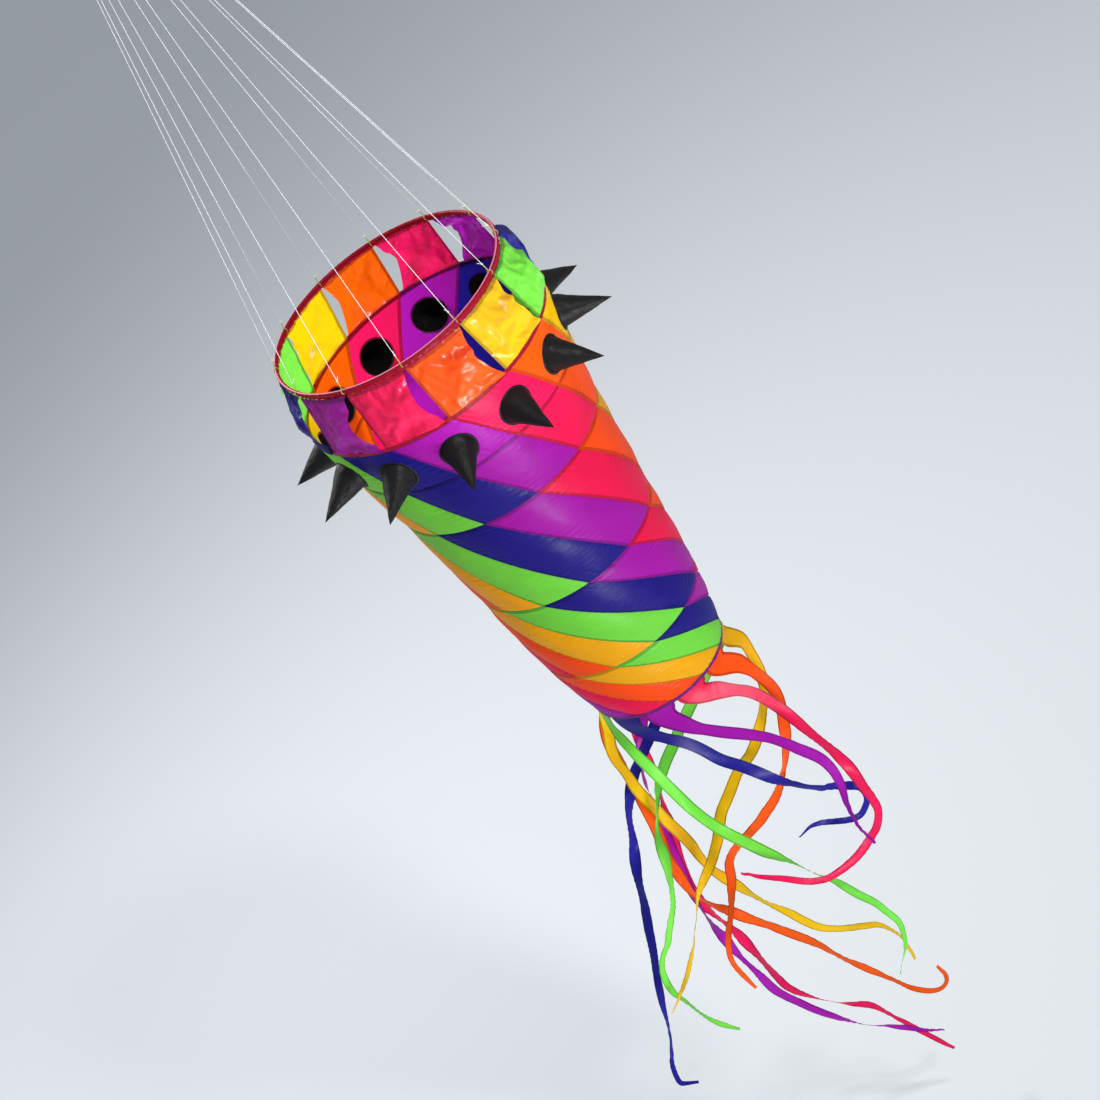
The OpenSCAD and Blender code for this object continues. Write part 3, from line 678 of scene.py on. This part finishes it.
# The routes of part.scad in millimetres: x, y and z from the trailing edge.
ROUTES = [
    [(-60, -275, -115), (20, -325, -150), (120, -390, -210), (190, -450, -280), (240, -500, -370),
     (245, -530, -440), (220, -560, -510), (205, -600, -580), (215, -650, -650)],
    [(80, -255, -105), (165, -265, -150), (235, -285, -260), (270, -310, -420), (300, -320, -550),
     (300, -330, -680), (290, -345, -800), (220, -355, -860), (110, -370, -880), (0, -385, -850),
     (-90, -395, -760), (-160, -410, -660), (-200, -420, -600)],
    [(180, -192, -110), (235, -182, -180), (255, -170, -280), (210, -160, -420), (150, -150, -530),
     (60, -130, -640), (-40, -120, -700), (-130, -110, -730), (-210, -110, -770), (-260, -100, -870),
     (-320, -90, -980), (-380, -80, -1060), (-420, -70, -1180), (-410, -60, -1330)],
    [(255, -82, -110), (265, -75, -190), (240, -65, -300), (160, -50, -420), (80, -40, -500),
     (-20, -30, -560), (-120, -20, -640), (-210, -10, -750), (-290, 0, -830), (-370, 0, -890),
     (-430, 0, -970), (-500, 0, -1060), (-580, 0, -1150), (-700, 0, -1250)],
    [(220, 40, -110), (150, 43, -165), (75, 45, -215), (-5, 45, -265), (-100, 45, -330),
     (-200, 45, -400), (-290, 45, -500), (-360, 50, -640), (-410, 50, -790), (-470, 50, -910),
     (-550, 50, -1000), (-620, 50, -1080), (-655, 55, -1180), (-645, 55, -1300), (-610, 60, -1430),
     (-555, 60, -1540)],
    [(160, 158, -105), (80, 160, -150), (0, 160, -200), (-130, 160, -310), (-250, 155, -390),
     (-350, 155, -490), (-430, 155, -620), (-500, 150, -780), (-560, 150, -930), (-620, 150, -1070),
     (-680, 150, -1200), (-730, 150, -1330), (-780, 150, -1460), (-840, 150, -1570), (-850, 150, -1650),
     (-800, 150, -1700)],
    [(60, 232, -105), (0, 230, -150), (-80, 230, -225), (-180, 230, -350), (-270, 230, -500),
     (-320, 225, -680), (-360, 225, -860), (-395, 225, -1040), (-405, 220, -1220), (-400, 220, -1400),
     (-385, 220, -1560), (-350, 220, -1720), (-280, 220, -1870), (-200, 220, -2010), (-110, 215, -2110),
     (-40, 215, -2200), (30, 215, -2270)],
    [(-65, 248, -105), (-110, 252, -165), (-170, 255, -250), (-215, 255, -400), (-250, 260, -580),
     (-310, 260, -770), (-370, 260, -960), (-390, 260, -1120), (-370, 260, -1290), (-350, 260, -1470),
     (-340, 260, -1640), (-300, 260, -1780), (-220, 260, -1900), (-130, 260, -2010), (-80, 260, -2150),
     (-30, 260, -2290), (20, 260, -2420)],
    [(-180, 195, -105), (-235, 192, -160), (-280, 190, -230), (-305, 190, -330), (-320, 190, -480),
     (-350, 190, -660), (-385, 190, -840), (-390, 190, -990), (-370, 190, -1110), (-310, 190, -1220),
     (-240, 190, -1360), (-175, 190, -1500), (-105, 190, -1680), (-35, 190, -1850), (30, 185, -1980),
     (95, 185, -2070), (155, 185, -2050), (155, 185, -1970)],
    [(-245, 92, -105), (-275, 94, -180), (-305, 95, -260), (-315, 95, -360), (-315, 100, -500),
     (-300, 100, -650), (-290, 100, -800), (-275, 100, -950), (-240, 105, -1080), (-180, 105, -1240),
     (-120, 105, -1390), (-60, 110, -1490), (20, 110, -1540), (80, 110, -1600), (110, 110, -1700),
     (100, 110, -1820)],
    [(-250, -65, -120), (-240, -95, -190), (-228, -120, -275), (-210, -150, -410), (-180, -190, -540),
     (-120, -230, -670), (-50, -270, -800), (20, -310, -920), (70, -340, -1030), (110, -370, -1120),
     (125, -390, -1220), (80, -420, -1300), (20, -440, -1350)],
    [(-170, -163, -105), (-125, -165, -160), (-75, -168, -235), (-20, -172, -365), (50, -176, -500),
     (125, -180, -625), (185, -184, -700), (245, -188, -735), (295, -192, -785), (290, -196, -850),
     (230, -200, -880), (160, -200, -840), (95, -200, -795), (30, -198, -795)],
]

# First two guide points of the ribbons that the wind lifts straight off the hem. They were set against
# the photo, and take the place of part.scad's.
OUTWARD = {
    0: ((-40, -278, -92), (24, -324, -146)),
    1: ((108, -253, -68), (188, -261, -146)),
    2: ((204, -191, -56), (240, -184, -152)),
    3: ((266, -85, -56), (270, -78, -136)),
}


def curve_points(p, steps):
    """A Catmull-Rom curve through the points, with this many steps for each span."""
    p = np.array(p, float)
    n = len(p) - 1
    made = []
    for i in range(n):
        a = 2 * p[0] - p[1] if i == 0 else p[i - 1]
        d = 2 * p[n] - p[n - 1] if i + 2 > n else p[i + 2]
        for s in range(steps):
            t = s / steps
            made.append(0.5 * (2 * p[i] + (p[i + 1] - a) * t
                               + (2 * a - 5 * p[i] + 4 * p[i + 1] - d) * t * t
                               + (3 * p[i] - a - 3 * p[i + 1] + d) * t**3))
    made.append(p[n])
    return np.array(made)


def ribbon_way(k, root):
    """The ribbon's centre line in metres from the trailing edge, with a small wander."""
    first, second = np.array(ROUTES[k][:2], float)
    first = first * 0.55 + (root + second) * 0.225
    first, second = OUTWARD.get(k, (first, second))
    way = curve_points([root, first, second, *ROUTES[k][2:]], SPAN_STEPS) / 1000
    bends = np.linspace(0, 1, len(way))[:, None] * len(way) / SPAN_STEPS
    wander = np.array([[noise.noise(Vector((b * 1.1, k * 3.3, c * 7.7))) for c in range(3)] for b in bends[:, 0]])
    way = way + wander * 0.007 * smooth((bends - 2.5) / 2)
    return np.concatenate([[way[0] + [0, 0, 0.016]], way])


def ribbon(k):
    """A strip sewn along the hem at its root, that narrows, twists and curls as it leaves it."""
    a = FIRST_TIE + STATION_TURN[6] + STEP * (k - 0.5)
    out = np.array([math.cos(a), math.sin(a), 0])
    tangent = np.array([-out[1], out[0], 0])
    way = ribbon_way(k, out * END_R * 1000 + [0, 0, -HEM_DROP * 1000])
    along = np.concatenate([[0], np.cumsum(np.linalg.norm(np.diff(way, axis=0), axis=1))])
    total = along[-1]
    points = np.zeros((len(way), RIBBON_COLS + 1, 3))
    uv = np.zeros((len(way), RIBBON_COLS + 1, 2))
    start = -out if out[1] > 0 else out
    sense = np.sign(np.cross([0, 0, -1], start) @ tangent)
    for j, s in enumerate(along):
        t = way[min(j + 1, len(way) - 1)] - way[max(j - 1, 0)]
        t = t / np.linalg.norm(t)
        facing = start + (np.array([0, -1, 0.3]) - start) * smooth(s / 0.3)
        across = np.cross(t, facing)
        across /= np.linalg.norm(across)
        up = np.cross(across, t)
        loose = smooth((s - 0.15) / 0.35)
        twist = loose * (0.75 * math.sin(s * 6.3 + 1.7 * k) + 0.45 * math.sin(s * 14.1 + 2.9 * k))
        twist += loose * 1.1 * noise.noise(Vector((s * 3.1, k * 5.3, 0.4)))
        side = across * math.cos(twist) + up * math.sin(twist)
        face = -across * math.sin(twist) + up * math.cos(twist)
        width = RIBBON_W + FLARE_W * (1 - min(1, s / FLARE_L)) ** 1.25
        width *= (1 - 0.50 * smooth((s / total - 0.5) / 0.45)) * (1 - 0.45 * smooth((s - total + 0.10) / 0.10))
        curl = 0.16 * loose * math.sin(s * 9.0 + k)
        flutter = loose * 0.0012 * math.sin(s * 170 + 5 * math.sin(s * 23 + k))
        b = smooth(s / 0.11)
        for i in range(RIBBON_COLS + 1):
            x = i / RIBBON_COLS - 0.5
            free = way[j] + side * x * width + face * (4 * x * x - 0.5) * curl * width * 0.5
            free = free + face * flutter * (2 * abs(x)) ** 2
            arc = a + sense * x * width / END_R
            sewn_r = END_R + HEM_LIFT
            sewn = np.array([sewn_r * math.cos(arc), sewn_r * math.sin(arc), way[j][2]])
            points[j, i] = sewn * (1 - b) + free * b + [0, 0, END_Z]
            uv[j, i] = ((x + 0.5) * CUT_W, 0.05 + s)
    colour = COLOURS[vent_colour(k)]
    o = mesh_of(f"ribbon_cloth_{k + 1}", [(points, uv)], [STRIP[colour]])
    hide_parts(f"ribbon_{k + 1}")
    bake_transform(o)


for k in range(GORES):
    ribbon(k)

# ---------- finishes of the CAD pieces that show ----------


def paint(node, material):
    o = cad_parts[node]
    o.data.materials.clear()
    o.data.materials.append(material)


for node in ("line_eye", "swivel_cap", "bridle_ring", "bearing_races", "bearing_balls", "hoop_ferrule"):
    paint(node, STEEL)
paint("swivel_barrel", BARREL)
paint("hoop_rod", ROD)
paint("tie_loops", CORD_GREEN)
for k in range(GORES):
    paint(f"bridle_leg_{k + 1}", CORD_WHITE)
